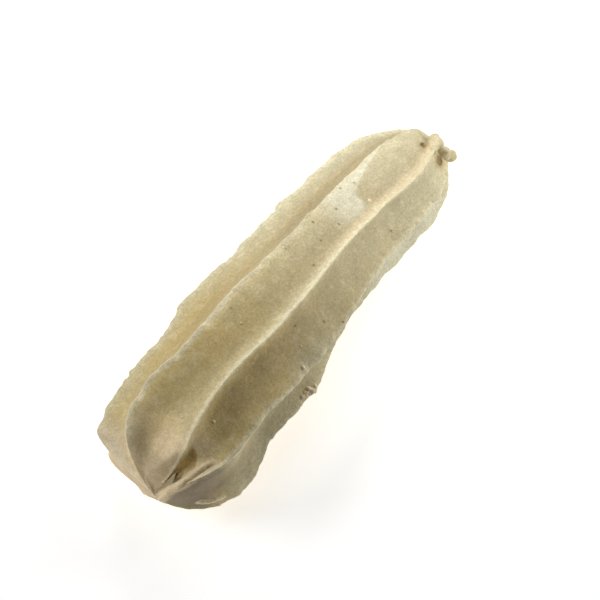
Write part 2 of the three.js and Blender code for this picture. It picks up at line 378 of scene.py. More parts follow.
PATCHES: dict[Mark, tuple[Patch, ...]] = {
    # How much more or less olive a trough is, as a share: less so on two flanks, in a grey patch
    # of trough 2 and in all of trough 3 but its tip.
    Mark.OLIVE: (
        Patch((0,), -0.5, across=(Ramp(0.35, 0),)),
        Patch((1,), -0.4, across=(Ramp(0.5, 0.9),)),
        Patch((2,), 0.35, across=(Ramp(0.5, 0.9),)),
        Patch((2,), -0.9, (Ramp(-6, -1, slant=20),), (Ramp(0.5, 0.9),), spot=(-11, 7)),
        Patch((3,), -0.6, along=(Ramp(-42, -37),)),
    ),
    # Painted shade in trough 0 and either side of the lip; painted light near three troughs' tips.
    Mark.PAINTED_LIGHT_AND_SHADE: (
        Patch((0,), 0.17, across=(Ramp(0.45, 0.65),), spot=(12, 10)),
        Patch((0,), -0.14, along=(Ramp(-45, -47),)),
        Patch((1,), -0.22, (Ramp(-46.5, -45), Ramp(-37, -40)), (Ramp(0.2, 0.35), Ramp(0.9, 0.8))),
        Patch((2,), 0.55, (Ramp(-45.5, -47),), (Ramp(1.1, 0.7),)),
        Patch((2,), -0.27, (Ramp(-46.5, -45), Ramp(-34, -38)), (Ramp(0.74, 0.62), Ramp(0, 0.2))),
        Patch((3,), 0.55, (Ramp(-36, -41),), (Ramp(0.8, 0.55),)),
        Patch((3,), 0.55, (Ramp(-44, -45),), (Ramp(0.55, 0.8), Ramp(1.1, 0.85))),
    ),
    # A flour patch across trough 1 with a sharp curved far edge and flour along trough 3; the fainter
    # same pale tone near the tips of troughs 0 and 2 is painted light.
    Mark.FLOUR_AND_PAINTED_LIGHT: (
        Patch((0,), 0.3, (Ramp(-45.5, -47),), (Ramp(0.65, 0.55),)),
        Patch((1,), 0.8, (Ramp(21.8, 21.1, curl=14), Ramp(12.5, 17.5)), (Ramp(0.85, 0.65),)),
        Patch((2,), 0.15, (Ramp(-36, -40), Ramp(-47, -45.5)), (Ramp(0, 0.12), Ramp(0.75, 0.6))),
        Patch((3,), 0.8, along=(Ramp(6, 14), Ramp(48, 42, slant=8))),
    ),
    # Rosy dough at the pinched end, on the pinch's flat and faintly beside ridge 2.
    Mark.BLUSH: (
        Patch((0, 4, 5, 6, 7), 1, along=(Ramp(-43, -47),)),
        Patch((1,), 0.3, along=(Ramp(-36, -40),)),
        Patch((1,), 0.7, (Ramp(-45.5, -49.5),), (Ramp(0.55, 0.35),)),
        Patch((1,), 0.7, (Ramp(-39, -43),), (Ramp(0.35, 0.55),)),
        Patch((1,), 0.6, (Ramp(2, 12),), (Ramp(0.78, 0.88),)),
        Patch((2,), 0.5, along=(Ramp(-47, -51),)),
        Patch((2,), 0.5, (Ramp(-36, -40),), (Ramp(0, 0.12), Ramp(0.75, 0.6))),
        Patch((3,), 1, (Ramp(-38, -42),), (Ramp(0.8, 0.55),)),
    ),
}


@dataclass(frozen=True)
class Form:
    """The piped body: eight ridges with a trough between each two, drawn in at both ends.

    girth: from the centre line to the crests; sway and rise: the centre line's y and z;
    pinch_pull and pinch_reach: how far the pinch drew the tip aside, and from where; end_power:
    how square the ends are; waver and waver_length: how a crest strays in and out, with a smaller
    and quicker ripple, each ridge ridge_phase after the one before; end_share: the share of the
    rings that crowd towards each end; table_ease: how softly the underside flattens; origin:
    where this form's own origin lies in the row's frame.
    """

    pinch_x: float = -50.0
    torn_x: float = 46.9
    girth: Row = (15.0, 15.2, 14.6, 12.8, 11.6)
    sway: Row = (-2.9, -0.2, 0.4, 0.5, -2.3)
    rise: Row = (11.0, 12.5, 12.0, 10.6, 9.6)
    pinch_pull: float = -0.9
    pinch_reach: float = 9.0
    ridges: tuple[Ridge, ...] = RIDGES
    facet: Facet = Facet()
    end_power: float = 2.2
    waver: float = 0.14
    waver_length: float = 11.0
    ripple: float = 0.5
    ripple_pace: float = 1.7
    ridge_phase: float = 2.1
    rings: int = 430
    end_share: float = 0.12
    table_ease: float = 0.3
    origin: Triple = (1.825, 0.795, 0.0)

    def share(self, x: Array) -> Array:
        """How far along the churro x is, from 0 to 1."""
        return (x - self.pinch_x) / (self.torn_x - self.pinch_x)

    def ring_x(self) -> Array:
        """The rings' x: evenly spaced, but crowding towards both ends."""
        k = np.arange(1, self.rings) / self.rings
        q = np.minimum(k, 1 - k) / self.end_share
        walked = self.end_share * np.where(q < 1, q * q, 2 * q - 1) / 2
        distance = (self.torn_x - self.pinch_x) * walked / (1 - self.end_share)
        return np.where(k < 0.5, self.pinch_x + distance, self.torn_x - distance)

    def centre(self, x: Array) -> Array:
        """The centre line: it sways and rises, and its tip is drawn aside by the pinch."""
        u = self.share(x)
        near = np.maximum(1 - (x - self.pinch_x) / self.pinch_reach, 0)
        y = along(self.sway, u) + self.pinch_pull * near**2
        return np.stack([x, y, along(self.rise, u)], -1)

    def outward(self, bearing: Array) -> Array:
        """The direction from the centre line at a bearing."""
        angle = np.radians(bearing)
        return np.stack([0 * angle, -np.sin(angle), np.cos(angle)], -1)

    def skin(self, x: Array, bearing: Array, radius: Array) -> Array:
        """Places at a bearing and a radius from the centre line."""
        return self.centre(x) + self.outward(bearing) * radius[..., None]

    def crest(self, count: int, x: Array) -> tuple[Array, Array]:
        """A ridge's crest; ridge 8 is ridge 0 after a full turn.

        Args:
            count: the ridge, counted round from ridge 0.
            x: places along the churro.

        Returns:
            Its bearing and its radius at each x.
        """
        index = count % len(self.ridges)
        ridge = self.ridges[index]
        u = self.share(x)
        phase = 2 * np.pi * x / self.waver_length + self.ridge_phase * index
        waver = np.sin(phase) + self.ripple * np.sin(self.ripple_pace * phase)
        ends = round_off(x - self.pinch_x, ridge.pinch_round, self.end_power)
        ends = ends * round_off(self.torn_x - x, ridge.torn_round, self.end_power)
        radius = (along(self.girth, u) + along(ridge.proud, u) + self.waver * waver) * ends
        turn = 0 if count < len(self.ridges) else 360
        return along(ridge.bearing, u) + turn, radius

    def dip(self, ridge: Ridge, w: Array, floor: Array) -> Array:
        """How deep a trough is across its width.

        Each side is the bowl 1 - (1 - m) ** power, where m goes from 0 on the crest to 1 on the
        floor, slowly at first where the crest is soft.

        Args:
            ridge: the ridge that the trough follows.
            w: from 0 on one crest to 1 on the next.
            floor: the w of the deepest line.

        Returns:
            From 0 on the crests to 1 on the floor.
        """
        first = w < floor
        side = np.where(first, w / np.maximum(floor, NOTHING), (1 - w) / (1 - floor))
        soft = np.where(first, *ridge.soft)
        m = (np.hypot(side, soft) - soft) / (np.hypot(1, soft) - soft)
        return 1 - np.maximum(1 - m, 0) ** np.where(first, *ridge.bowl)

    def facet_cut(self, x: Array, bearing: Array, radius: Array) -> Array:
        """A radius made no more than the pinch's flat allows.

        The plane's own radius is its distance along the bearing.  The smaller of the two is
        (a + b - hypot(a - b, soft)) / 2, which rounds the edge off.

        Args:
            x: places along the churro.
            bearing: the direction of each radius.
            radius: without the flat.

        Returns:
            The radius with it.
        """
        facet = self.facet
        normal = unit(np.array(facet.normal))
        slope = self.outward(bearing) @ normal
        gap = (facet.through - self.centre(x)) @ normal
        slope_used = np.maximum(slope, facet.steepest)
        offset = self.skin(x, bearing, np.maximum(gap, 0) / slope_used) - facet.middle
        away = np.linalg.norm(offset, axis=-1) / facet.size
        swollen = np.maximum(gap + facet.bulge * np.maximum(1 - away**2, 0), 0)
        flat = np.where(slope > 0, swollen / slope_used, facet.far_out)
        return (radius + flat - np.hypot(radius - flat, facet.soft)) / 2

    def trough(self, index: int, x: Array, w: Array) -> tuple[Array, Array, Array]:
        """The skin from one crest to the next.

        Args:
            index: the ridge that the trough follows.
            x: places along the churro.
            w: places across the trough, 0 on this crest and 1 on the next.

        Returns:
            Bearing, radius and depth (0 on the crests, 1 on the floor) at each x and w.
        """
        ridge = self.ridges[index]
        here, next_one = self.crest(index, x), self.crest(index + 1, x)
        if index == self.facet.ridge:
            here = here[0], self.facet_cut(x, *here)
        bearing = here[0] + (next_one[0] - here[0]) * w
        floor = along(ridge.floor, self.share(x))
        if index == self.facet.ridge - 1:
            floor = floor * round_off(x - self.pinch_x, self.facet.reach, 2)
        dip = self.dip(ridge, w, floor)
        between = here[1] + (next_one[1] - here[1]) * w
        radius = between * (1 - along(ridge.depth, self.share(x)) * dip)
        if index == self.facet.ridge - 1:
            flank = radius - self.facet.crease_slope * np.maximum(w - floor, 0) * between
            radius = np.maximum(self.facet_cut(x, bearing, radius), flank)
        return bearing, radius, dip

    def place(self, index: int, x: float, w: float) -> Array:
        """A place on the smooth skin, by trough and where it lies along and across."""
        spot = np.array([x])
        bearing, radius, _ = self.trough(index, spot, np.array([w]))
        return self.skin(spot, bearing, radius)[0]


@dataclass(frozen=True)
class Relief:
    """The unevenness of the dough's skin, in mm.

    Each kind has a height and a pitch, a width from the crest or both.  Rags and nicks are
    stretched across the crests, nick_change makes some stretches more nicked than others, and all
    of it fades where the churro is thinner than `fade`.
    """

    swell: float = 0.16
    swell_pitch: float = 8.0
    lump: float = 0.10
    lump_pitch: float = 2.6
    grit: float = 0.035
    grit_pitch: float = 0.8
    drag: float = 0.05
    drag_pitch: Triple = (14.0, 0.9, 0.9)
    rag: float = 0.33
    rag_pitch: float = 1.8
    rag_stretch: Triple = (1.0, 0.2, 0.2)
    rag_width: float = 1.0
    bead: float = 0.28
    bead_width: float = 0.5
    hollow: float = 0.2
    hollow_width: float = 1.3
    nick: float = 0.2
    nick_pitch: float = 1.1
    nick_stretch: Triple = (1.0, 0.3, 0.3)
    nick_change: float = 1.4
    fade: float = 4.0

    def height(self, points: Array, gap: Array) -> Array:
        """How far the skin stands out: swells, lumps and grit, drag lines and ragged crests.

        A nicked bead with a faint hollow on both sides runs along each crest.  Each noise is read
        from a place of its own, so none repeats another.

        Args:
            points: places on the skin, in mm.
            gap: how far each is from the nearest crest, in mm.

        Returns:
            The height at each point.
        """
        edge = np.exp(-((gap / self.rag_width) ** 2))
        bead = np.exp(-((gap / self.bead_width) ** 2))
        rags = GRAIN.layered(points * self.rag_stretch, self.rag_pitch, 2)
        nicks = GRAIN.layered(points * self.nick_stretch + 9.0, self.nick_pitch, 2)
        nicks = nicks * (1 + self.nick_change * GRAIN.at(points + 3.0, self.swell_pitch))
        return (
            self.swell * GRAIN.at(points, self.swell_pitch)
            + self.lump * GRAIN.layered(points + 31.0, self.lump_pitch, 2)
            + self.grit * GRAIN.layered(points + 57.0, self.grit_pitch, 2)
            + self.drag * GRAIN.at(points + 83.0, self.drag_pitch) * (1 - edge)
            + self.rag * rags * edge
            + (self.bead + self.nick * nicks) * bead
            - self.hollow * np.exp(-((gap / self.hollow_width) ** 2))
        )


@dataclass(frozen=True)
class Strip:
    """A strip of dough along a path, with a rounded top, rooted inside the churro.

    proud: how far it stands out from the path; sink: how far it goes in; inside: a place that its
    top faces away from; square: how square its section is, 1 is an ellipse; ragged and
    ragged_pitch: its unevenness; tint: the dough's marks near the path; tint_reach: how near.
    """

    path: tuple[Triple, ...]
    width: Row
    proud: Row
    sink: float
    inside: Triple = (-41, -3, 12)
    steps: int = 60
    sides: int = 24
    square: float = 0.6
    ragged: float = 0.18
    ragged_pitch: float = 0.9
    tint: Mapping[Mark, float] = field(default_factory=dict)
    tint_reach: Ramp = Ramp(1.0, 0.0)

    def spine(self) -> Array:
        """Points along the path."""
        u = np.linspace(0, 1, self.steps)
        return np.stack([along(tuple(p[k] for p in self.path), u) for k in range(3)], -1)

    def near(self, points: Array) -> Array:
        """How near places are to the path: 1 where the tint is full, 0 beyond its reach."""
        away = np.full(len(points), self.tint_reach.none)
        for place in self.spine():
            away = np.minimum(away, np.linalg.norm(points - place, axis=1))
        return self.tint_reach.at(away)

    def shape(self) -> Shape:
        """A superellipse carried along the path, half above it and half sunk, with ragged edges.

        Returns:
            The closed strip.
        """
        spine = self.spine()
        u = np.linspace(0, 1, self.steps)
        ahead = unit(np.gradient(spine, axis=0))
        out = spine - self.inside
        out = unit(out - (out * ahead).sum(-1, keepdims=True) * ahead)
        across = np.cross(out, ahead)
        angle = 2 * np.pi * np.arange(self.sides) / self.sides
        sideways, upwards = -np.cos(angle), -np.sin(angle)
        squared = np.sign(upwards) * np.abs(upwards) ** self.square
        wide = along(self.width, u)[:, None] * sideways / 2
        high = np.where(squared > 0, along(self.proud, u)[:, None] * squared, squared * self.sink)
        rings = spine[:, None] + across[:, None] * wide[..., None] + out[:, None] * high[..., None]
        bump = self.ragged * GRAIN.layered(rings, self.ragged_pitch, 2)
        rings = rings + (across[:, None] * sideways[:, None] + out[:, None]) * bump[..., None]
        return closed_loft(rings, rings[0].mean(0), rings[-1].mean(0))


@dataclass(frozen=True)
class Lump:
    """An uneven ellipsoid: a knob, a crumb or, cut out of the dough, a hole."""

    centre: Triple
    radii: Triple
    uneven: float = 0.12
    rings: int = 14
    sides: int = 18

    def shape(self) -> Shape:
        """A sphere stretched to its radii, with noise on its radius.

        Returns:
            The closed lump.
        """
        tilt = np.pi * np.arange(1, self.rings)[:, None] / self.rings
        turn = 2 * np.pi * np.arange(self.sides) / self.sides
        flat = np.sin(tilt)
        ball = np.stack([flat * np.cos(turn), flat * np.sin(turn), 0 * turn - np.cos(tilt)], -1)
        radii, centre = np.array(self.radii), np.array(self.centre)
        rough = 1 + self.uneven * GRAIN.layered(ball * radii + centre, radii.mean(), 2)
        pole = np.array([0.0, 0.0, 1.0]) * radii
        return closed_loft(centre + ball * radii * rough[..., None], centre - pole, centre + pole)


# ---- Shader maths ----


@dataclass(frozen=True)
class Value:
    """A number that varies over a surface: a socket of a tree, with arithmetic."""

    nodes: Nodes
    socket: NodeSocket

    def _math(self, operation: str, other: Value | float, reflected: bool = False) -> Value:
        """A Math node on this number and another, or on the other one first."""
        values = {0: other, 1: self} if reflected else {0: self, 1: other}
        return self.nodes.add("ShaderNodeMath", {"operation": operation}, values)

    __add__ = __radd__ = partialmethod(_math, "ADD")
    __sub__ = partialmethod(_math, "SUBTRACT")
    __rsub__ = partialmethod(_math, "SUBTRACT", reflected=True)
    __mul__ = partialmethod(_math, "MULTIPLY")

    def between(self, low: float, high: float) -> Value:
        """A smooth step: 0 at and below `low`, 1 at and above `high`."""
        settings = {"interpolation_type": "SMOOTHSTEP"}
        values = {"Value": self, "From Min": low, "From Max": high}
        return self.nodes.add("ShaderNodeMapRange", settings, values)


Input = Value | float | Row


class Nodes:
    """A material's node tree."""

    def __init__(self, name: str) -> None:
        """Starts a material with an empty tree."""
        self.material = bpy.data.materials.new(name)
        self.material.use_nodes = True
        self.tree = self.material.node_tree
        self.tree.nodes.clear()

    def add(
        self,
        kind: str,
        settings: Mapping[str, object] | None = None,
        values: Mapping[str | int, Input] | None = None,
        output: str | int = 0,
    ) -> Value:
        """Adds a node.

        Args:
            kind: the node's type.
            settings: its properties, which are set first.
            values: numbers, vectors or links for its inputs, by name or number.
            output: the output that is wanted.

        Returns:
            That output.
        """
        node = self.tree.nodes.new(kind)
        for key, setting in (settings or {}).items():
            setattr(node, key, setting)
        for key, value in (values or {}).items():
            socket = node.inputs[key]
            if isinstance(value, Value):
                self.tree.links.new(value.socket, socket)
            else:
                socket.default_value = value
        return Value(self, node.outputs[output])

    def mix(self, share: Value | float, first: Input, second: Input) -> Value:
        """A blend of two colours: all `first` where share is 0, all `second` where it is 1."""
        values = {0: share, 6: first, 7: second}
        return self.add("ShaderNodeMix", {"data_type": "RGBA"}, values, output=2)

    def scaled(self, vector: Value, by: Value | float) -> Value:
        """A colour or a place times a number."""
        return self.add("ShaderNodeVectorMath", {"operation": "SCALE"}, {0: vector, "Scale": by})

    def position(self) -> Value:
        """Where a point is on the piece, in mm."""
        return self.scaled(self.add("ShaderNodeTexCoord", output="Object"), 1 / MM)

    def noise(self, place: Value, pitch: float, detail: float = 2.0, rough: float = 0.5) -> Value:
        """Cloudy noise, about 0.5 on average."""
        values = {"Vector": place, "Scale": 1 / pitch, "Detail": detail, "Roughness": rough}
        return self.add("ShaderNodeTexNoise", {}, values)

    def specks(self, place: Value, pitch: float, radius: float, share: float) -> Value:
        """Round specks: 1 in the middle of a few of the cells of a scattered grid.

        Args:
            place: coordinates, in mm.
            pitch: from one cell to the next.
            radius: of a speck, in mm.
            share: of the cells that have one.

        Returns:
            The mask.
        """
        values = {"Vector": place, "Scale": 1 / pitch}
        node = self.add("ShaderNodeTexVoronoi", {}, values).socket.node
        distance = Value(self, node.outputs["Distance"])
        chance = self.add("ShaderNodeSeparateColor", {}, {0: Value(self, node.outputs["Color"])})
        near = 1 - distance.between(0.4 * radius / pitch, radius / pitch)
        return near * (1 - chance.between(share, share + 0.01))

    def mark(self, mark: Mark) -> Value:
        """A value that the mesh carries."""
        return self.add("ShaderNodeAttribute", {"attribute_name": mark.value}, output="Fac")

    def bump(self, height: Value, distance: float) -> Value:
        """A normal from a height; distance is in mm for each unit of height."""
        return self.add("ShaderNodeBump", {}, {"Height": height, "Distance": distance * MM})

    def finish(self, values: Mapping[str, Input]) -> Material:
        """Ends the tree in a Principled shader with these inputs."""
        shader = self.add("ShaderNodeBsdfPrincipled", {}, values)
        end = self.tree.nodes.new("ShaderNodeOutputMaterial")
        self.tree.links.new(shader.socket, end.inputs["Surface"])
        return self.material


def colour(red: float, green: float, blue: float) -> Colour:
    """A display colour of 0 to 255 as the linear colour that shaders use."""
    display = np.array([red, green, blue]) / 255
    linear = np.where(display <= 0.04045, display / 12.92, ((display + 0.055) / 1.055) ** 2.4)
    return (*linear.tolist(), 1.0)


# ---- Finishes ----


@dataclass(frozen=True)
class DoughFinish:
    """Raw dough: pale where it is dry, yellow olive where it is damp, with ragged dry crests.

    Its four noises have pitches in mm, and three of them have a weight in how light the dough is.
    holes: the pinholes' pitch and radius in mm, and the share of them that there are; cover: how
    far a mark hides what is under it.  The pinholes and the hollows have painted shade, and some
    patches painted light and shade.
    """

    pale: Colour = colour(206, 200, 170)
    olive: Colour = colour(213, 190, 130)
    # The painted shade of the hollows.
    painted_shade_umber: Colour = colour(150, 125, 80)
    rosy: Colour = colour(222, 199, 160)
    peach: Colour = colour(224, 188, 134)
    dry: Colour = colour(238, 228, 192)
    # Flour, and the painted light near the tips of troughs 0 and 2.
    floury_and_painted_light: Colour = colour(232, 226, 198)
    stained: Colour = colour(164, 140, 90)
    # The painted shade inside a pinhole.
    hole: Colour = colour(118, 98, 62)
    cloud_pitch: float = 7.0
    mottle_pitch: float = 2.2
    fleck_pitch: float = 0.8
    powder_pitch: float = 0.35
    holes: Triple = (4.2, 0.2, 0.12)
    cover: float = 0.9
    least_light: float = 0.35
    powder_weight: float = 0.7
    fleck_weight: float = 0.36
    mottle_weight: float = 0.27
    brightest: float = 1.28
    dimming: float = 0.9
    rim_edge: tuple[float, float] = (0.7, 1.6)
    roughness: float = 0.78
    bump: float = 0.07

    def material(self) -> Material:
        """Clouded tones, powdery grain, pinholes and ragged dry crests."""
        n = Nodes("raw_dough")
        place = n.position()
        cloud = n.noise(place, self.cloud_pitch, 3.0)
        mottle = n.noise(place, self.mottle_pitch, 3.0, 0.6)
        fleck = n.noise(place, self.fleck_pitch, 3.0, 0.65)
        powder = n.noise(place, self.powder_pitch, 2.0, 0.6)
        hole = n.specks(place, *self.holes)
        # A noise, about 0.5 on average, breaks up where each of these tones lies.
        tone = n.mix(n.mark(Mark.OLIVE) * (0.6 + cloud * 0.8), self.pale, self.olive)
        # Painted shade in the hollows, broken up by the mottle.
        tone = n.mix(n.mark(Mark.PAINTED_HOLLOW_SHADE) * (0.15 + mottle * 0.9), tone, self.painted_shade_umber)
        tone = n.mix(n.mark(Mark.BLUSH) * self.cover, tone, self.rosy)
        tone = n.mix(fleck.between(0.4, 0.8) * 0.12, tone, self.peach)
        tone = n.mix(mottle.between(0.45, 0.8) * 0.3, tone, self.dry)
        # Flour, and painted light near the tips of troughs 0 and 2.
        tone = n.mix(n.mark(Mark.FLOUR_AND_PAINTED_LIGHT) * (0.5 + mottle), tone, self.floury_and_painted_light)
        rim = (n.mark(Mark.CREST) + fleck * 1.2).between(*self.rim_edge)
        tone = n.mix(rim * n.mark(Mark.DRY) * self.cover, tone, self.dry)
        tone = n.mix(n.mark(Mark.STAIN) * self.cover, tone, self.stained)
        # Painted shade in the pinholes that the bump dents.
        tone = n.mix(hole, tone, self.hole)
        light = self.least_light + powder * self.powder_weight
        light = light + fleck * self.fleck_weight + mottle * self.mottle_weight
        # Painted light and shade: above its even value the mark darkens the tone, below it lightens
        # it.
        tone = n.scaled(tone, light * (self.brightest - n.mark(Mark.PAINTED_LIGHT_AND_SHADE) * self.dimming))
        height = powder * 0.4 + fleck + mottle * 0.8 - hole * 1.4
        values = {"Base Color": tone, "Roughness": self.roughness, "IOR": 1.4}
        return n.finish({**values, "Normal": n.bump(height, self.bump)})


@dataclass(frozen=True)
class CrumbFinish:
    """Dry dough crumbs."""

    pale: Colour = colour(246, 236, 208)
    tan: Colour = colour(226, 205, 160)

    def material(self) -> Material:
        """Pale and tan mottle over a gritty surface."""
        n = Nodes("dry_crumb")
        mottle = n.noise(n.position(), 0.8, 3.0)
        tone = n.mix(mottle.between(0.35, 0.65), self.pale, self.tan)
        return n.finish({"Base Color": tone, "Roughness": 0.85, "Normal": n.bump(mottle, 0.06)})


@dataclass(frozen=True)
class FloorFinish:
    """A plain pale floor."""

    pale: Colour = (0.92, 0.92, 0.92, 1.0)
    glow: float = 0.6

    def material(self) -> Material:
        """Flat white that glows a little, as a light table does."""
        values = {"Base Color": self.pale, "Roughness": 0.9, "Emission Color": (1.0,) * 4}
        return Nodes("pale_floor").finish({**values, "Emission Strength": self.glow})


# ---- Pieces ----


def new_object(name: str, data: ID) -> Object:
    """An object in the scene, at the origin."""
    piece = bpy.data.objects.new(name, data)
    bpy.context.scene.collection.objects.link(piece)
    return piece


def aimed(name: str, data: ID, place: Vector, aim: Vector) -> Object:
    """A lamp or camera at a place that looks at another, both in mm."""
    piece = new_object(name, data)
    turn = (place - aim).to_track_quat("Z", "Y")
    piece.matrix_world = Matrix.LocRotScale(place * MM, turn, None)
    return piece


def merge(piece: Object, solids: list[Shape], operation: str) -> None:
    """Joins closed solids to a piece (UNION), or cuts them out of it (DIFFERENCE)."""
    for solid in solids:
        other = new_object("solid", solid.mesh("solid"))
        boolean = piece.modifiers.new("merge", "BOOLEAN")
        boolean.operation = operation
        boolean.solver = "MANIFOLD"
        boolean.object = other
        with bpy.context.temp_override(object=piece, active_object=piece):
            bpy.ops.object.modifier_apply(modifier=boolean.name)
        bpy.data.objects.remove(other)


def drop_specks(mesh: Mesh) -> None:
    """Takes away what a cut can leave: two faces back to back that touch nothing else."""
    edit = bmesh.new()
    edit.from_mesh(mesh)
    specks = [face for face in edit.faces if all(len(v.link_edges) == 2 for v in face.verts)]
    bmesh.ops.delete(edit, geom=specks, context="FACES")
    edit.to_mesh(mesh)
    edit.free()


def dress(piece: Object, material: Material, origin: Triple) -> None:
    """Moves a piece's mesh by `origin` mm to its place in the frame and gives it its material."""
    piece.data.transform(Matrix.Translation(Vector(origin) * MM))
    piece.data.materials.clear()
    piece.data.materials.append(material)
    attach(piece, Body.ROOT.value)


@dataclass
class Churro:
    """The dough, as one closed mesh.

    olive: how olive it is along its length; dimness: the even value of the painted light and
    shade mark over most of it; dry_from: where the crests begin to be dry; shade_power: how near
    the floor a trough's painted shade stays; flank_shade: the painted shade across trough 0, which
    is dark up to ridge 1; stain_reach: of a hole's stain, in radii; crowding: of the columns of
    points towards the crests; pinholes: each one's trough, x and w.
    """

    form: Form = Form()
    relief: Relief = Relief()
    lip: Strip = Strip(
        path=(
            (-50, -5.4, 11.4), (-49.2, -7.5, 17.9), (-48, -9.1, 20.7),
            (-46, -10.1, 21.9), (-43.8, -10.7, 22.2), (-41, -11.4, 21.9),
        ),
        width=(0.9, 1.2, 1.3, 1.3, 1.3, 1.1),
        proud=(0.5, 0.6, 0.7, 0.7, 0.7, 0.4),
        sink=1.6,
        # The lip is kept clear of the painted shade beside it, a little lighter than the rest, and
        # rosy.
        tint={Mark.PAINTED_HOLLOW_SHADE: 0, Mark.PAINTED_LIGHT_AND_SHADE: 0.26, Mark.OLIVE: 0, Mark.BLUSH: 1, Mark.DRY: 0},
        tint_reach=Ramp(1.5, 0.9),
    )
    flap: Strip = Strip(
        path=((-46.3, -12, 12.3), (-44.9, -13.1, 11.3), (-43.5, -13.9, 10.4), (-42, -14.5, 9.5)),
        width=(0.6, 0.9, 0.9, 0.5),
        proud=(0.1, 0.3, 0.3, 0.1),
        sink=1.2,
        # Painted highlight: the flap is much lighter than the painted shade round it, rosy and pale.
        tint={Mark.PAINTED_LIGHT_AND_SHADE: 0.15, Mark.BLUSH: 1, Mark.DRY: 0.6, Mark.CREST: 1},
        tint_reach=Ramp(1, 0.4),
    )
    pocket: Strip = Strip(
        path=((-41, -7.7, 24.2), (-43.2, -8.2, 22.2), (-45.2, -8.2, 20.8), (-48.1, -8, 19.6)),
        width=(1.2, 2.7, 2.8, 2),
        proud=(1.5,),
        sink=1.7,
        ragged=0.3,
        # A little painted shade in the pocket, which is olive.
        tint={Mark.PAINTED_HOLLOW_SHADE: 0.1, Mark.OLIVE: 0.8, Mark.BLUSH: 0, Mark.DRY: 0},
        tint_reach=Ramp(2.2, 0.6),
    )
    nub: Strip = Strip(
        path=(
            (40.6, -6, 19.7), (42.5, -5, 18.7), (43.8, -4.8, 17.7),
            (43.8, -6.4, 15.7), (45.4, -7.5, 12.7),
        ),
        inside=(38, -5, 10),
        width=(1, 2.6, 2.8, 2.3, 2.2),
        proud=(0.3, 0.8, 1, 1, 0.9),
        sink=1.6,
        ragged=0.5,
    )
    lumps: tuple[Lump, ...] = (
        Lump((45.4, -7.6, 12.7), (1.3, 1.2, 1.4), uneven=0.4),
        Lump((44.1, -3.9, 17.9), (1.1, 1, 0.9), uneven=0.35),
    )
    pits: tuple[Lump, ...] = (
        Lump((-46.1, -7.1, 19.3), (0.8, 0.6, 0.9)),
        Lump((41, -3, 18.6), (0.6, 0.5, 0.7)),
        Lump((41.4, -7.3, 16.2), (1.3, 0.9, 1.5)),
    )
    olive: Row = (0.6, 0.85, 0.95, 0.93, 0.78, 0.56, 0.45, 0.38, 0.27, 0.27, 0.35)
    dimness: float = 0.31
    dry_from: Ramp = Ramp(-48.5, -45.5)
    shade_power: int = 3
    flank_shade: Ramp = Ramp(0.16, 0.52)
    stain_reach: Ramp = Ramp(2.1, 0.8)
    crowding: float = 0.7
    pinholes: tuple[tuple[int, float, float], ...] = (
        (1, 23.3, 0.20), (1, 20.4, 0.08), (1, 16, 0.31), (1, 13.9, 0.58), (1, 8.4, 0.53),
        (1, 10.3, 0.17), (1, 2.1, 0.14), (1, 3.2, 0.76), (1, -14.9, 0.19), (2, 21.5, 0.68),
        (2, -9, 0.27), (2, -3.7, 0.68), (2, -0.8, 0.95),
    )
    pinhole_size: float = 0.17
    sharp_edge: float = 60.0

    def body(self) -> Shape:
        """Rings of the form's radius plus the relief, flattened where they meet the table.

        Returns:
            The closed body.
        """
        form = self.form
        x = form.ring_x()[:, None]
        columns = []
        for index, ridge in enumerate(form.ridges):
            even = np.arange(ridge.columns) / ridge.columns
            w = even - self.crowding * np.sin(2 * np.pi * even) / (2 * np.pi)
            bearing, radius, _ = form.trough(index, x, w[None])
            span = np.radians(form.crest(index + 1, x)[0] - form.crest(index, x)[0]) * radius
            gap = np.minimum(w, 1 - w)[None] * span
            height = self.relief.height(form.skin(x, bearing, radius), gap)
            radius = radius + height * Ramp(0, self.relief.fade).at(radius)
            columns.append(form.skin(x, bearing, radius))
        rings = np.concatenate(columns, axis=1)
        tips = form.centre(np.array([form.pinch_x, form.torn_x]))
        rings[..., 2] = self.on_table(rings[..., 2])
        return closed_loft(rings, tips[0], tips[1])

    def on_table(self, z: Array) -> Array:
        """Heights with all below the table raised to it, eased by a parabola at the edge."""
        ease = self.form.table_ease
        return np.where(z > ease, z, np.clip(z + ease, 0, None) ** 2 / (4 * ease))

    def marks(self, points: Array) -> dict[Mark, Array]:
        """What the dough's colours follow.

        Args:
            points: places on the finished skin, in mm.

        Returns:
            Each mark's value at each point.
        """
        form = self.form
        x = np.clip(points[:, 0], form.pinch_x, form.torn_x)
        offset = points - form.centre(x)
        bearing = np.degrees(np.arctan2(-offset[:, 1], offset[:, 2]))
        radius = np.hypot(offset[:, 1], offset[:, 2])
        marks = {mark: np.zeros(len(x)) for mark in Mark}
        for index in range(len(form.ridges)):
            start, end = form.crest(index, x)[0], form.crest(index + 1, x)[0]
            w = ((bearing - start) % 360) / (end - start)
            width = np.radians(end - start) * radius
            for mark, values in self.trough_marks(index, x, np.clip(w, 0, 1), width).items():
                marks[mark] = np.where(w <= 1, values, marks[mark])
        for strip in (self.pocket, self.lip, self.flap):
            near = strip.near(points)
            for mark, value in strip.tint.items():
                marks[mark] = marks[mark] * (1 - near) + value * near
        marks[Mark.STAIN] = self.stain(points)
        return marks

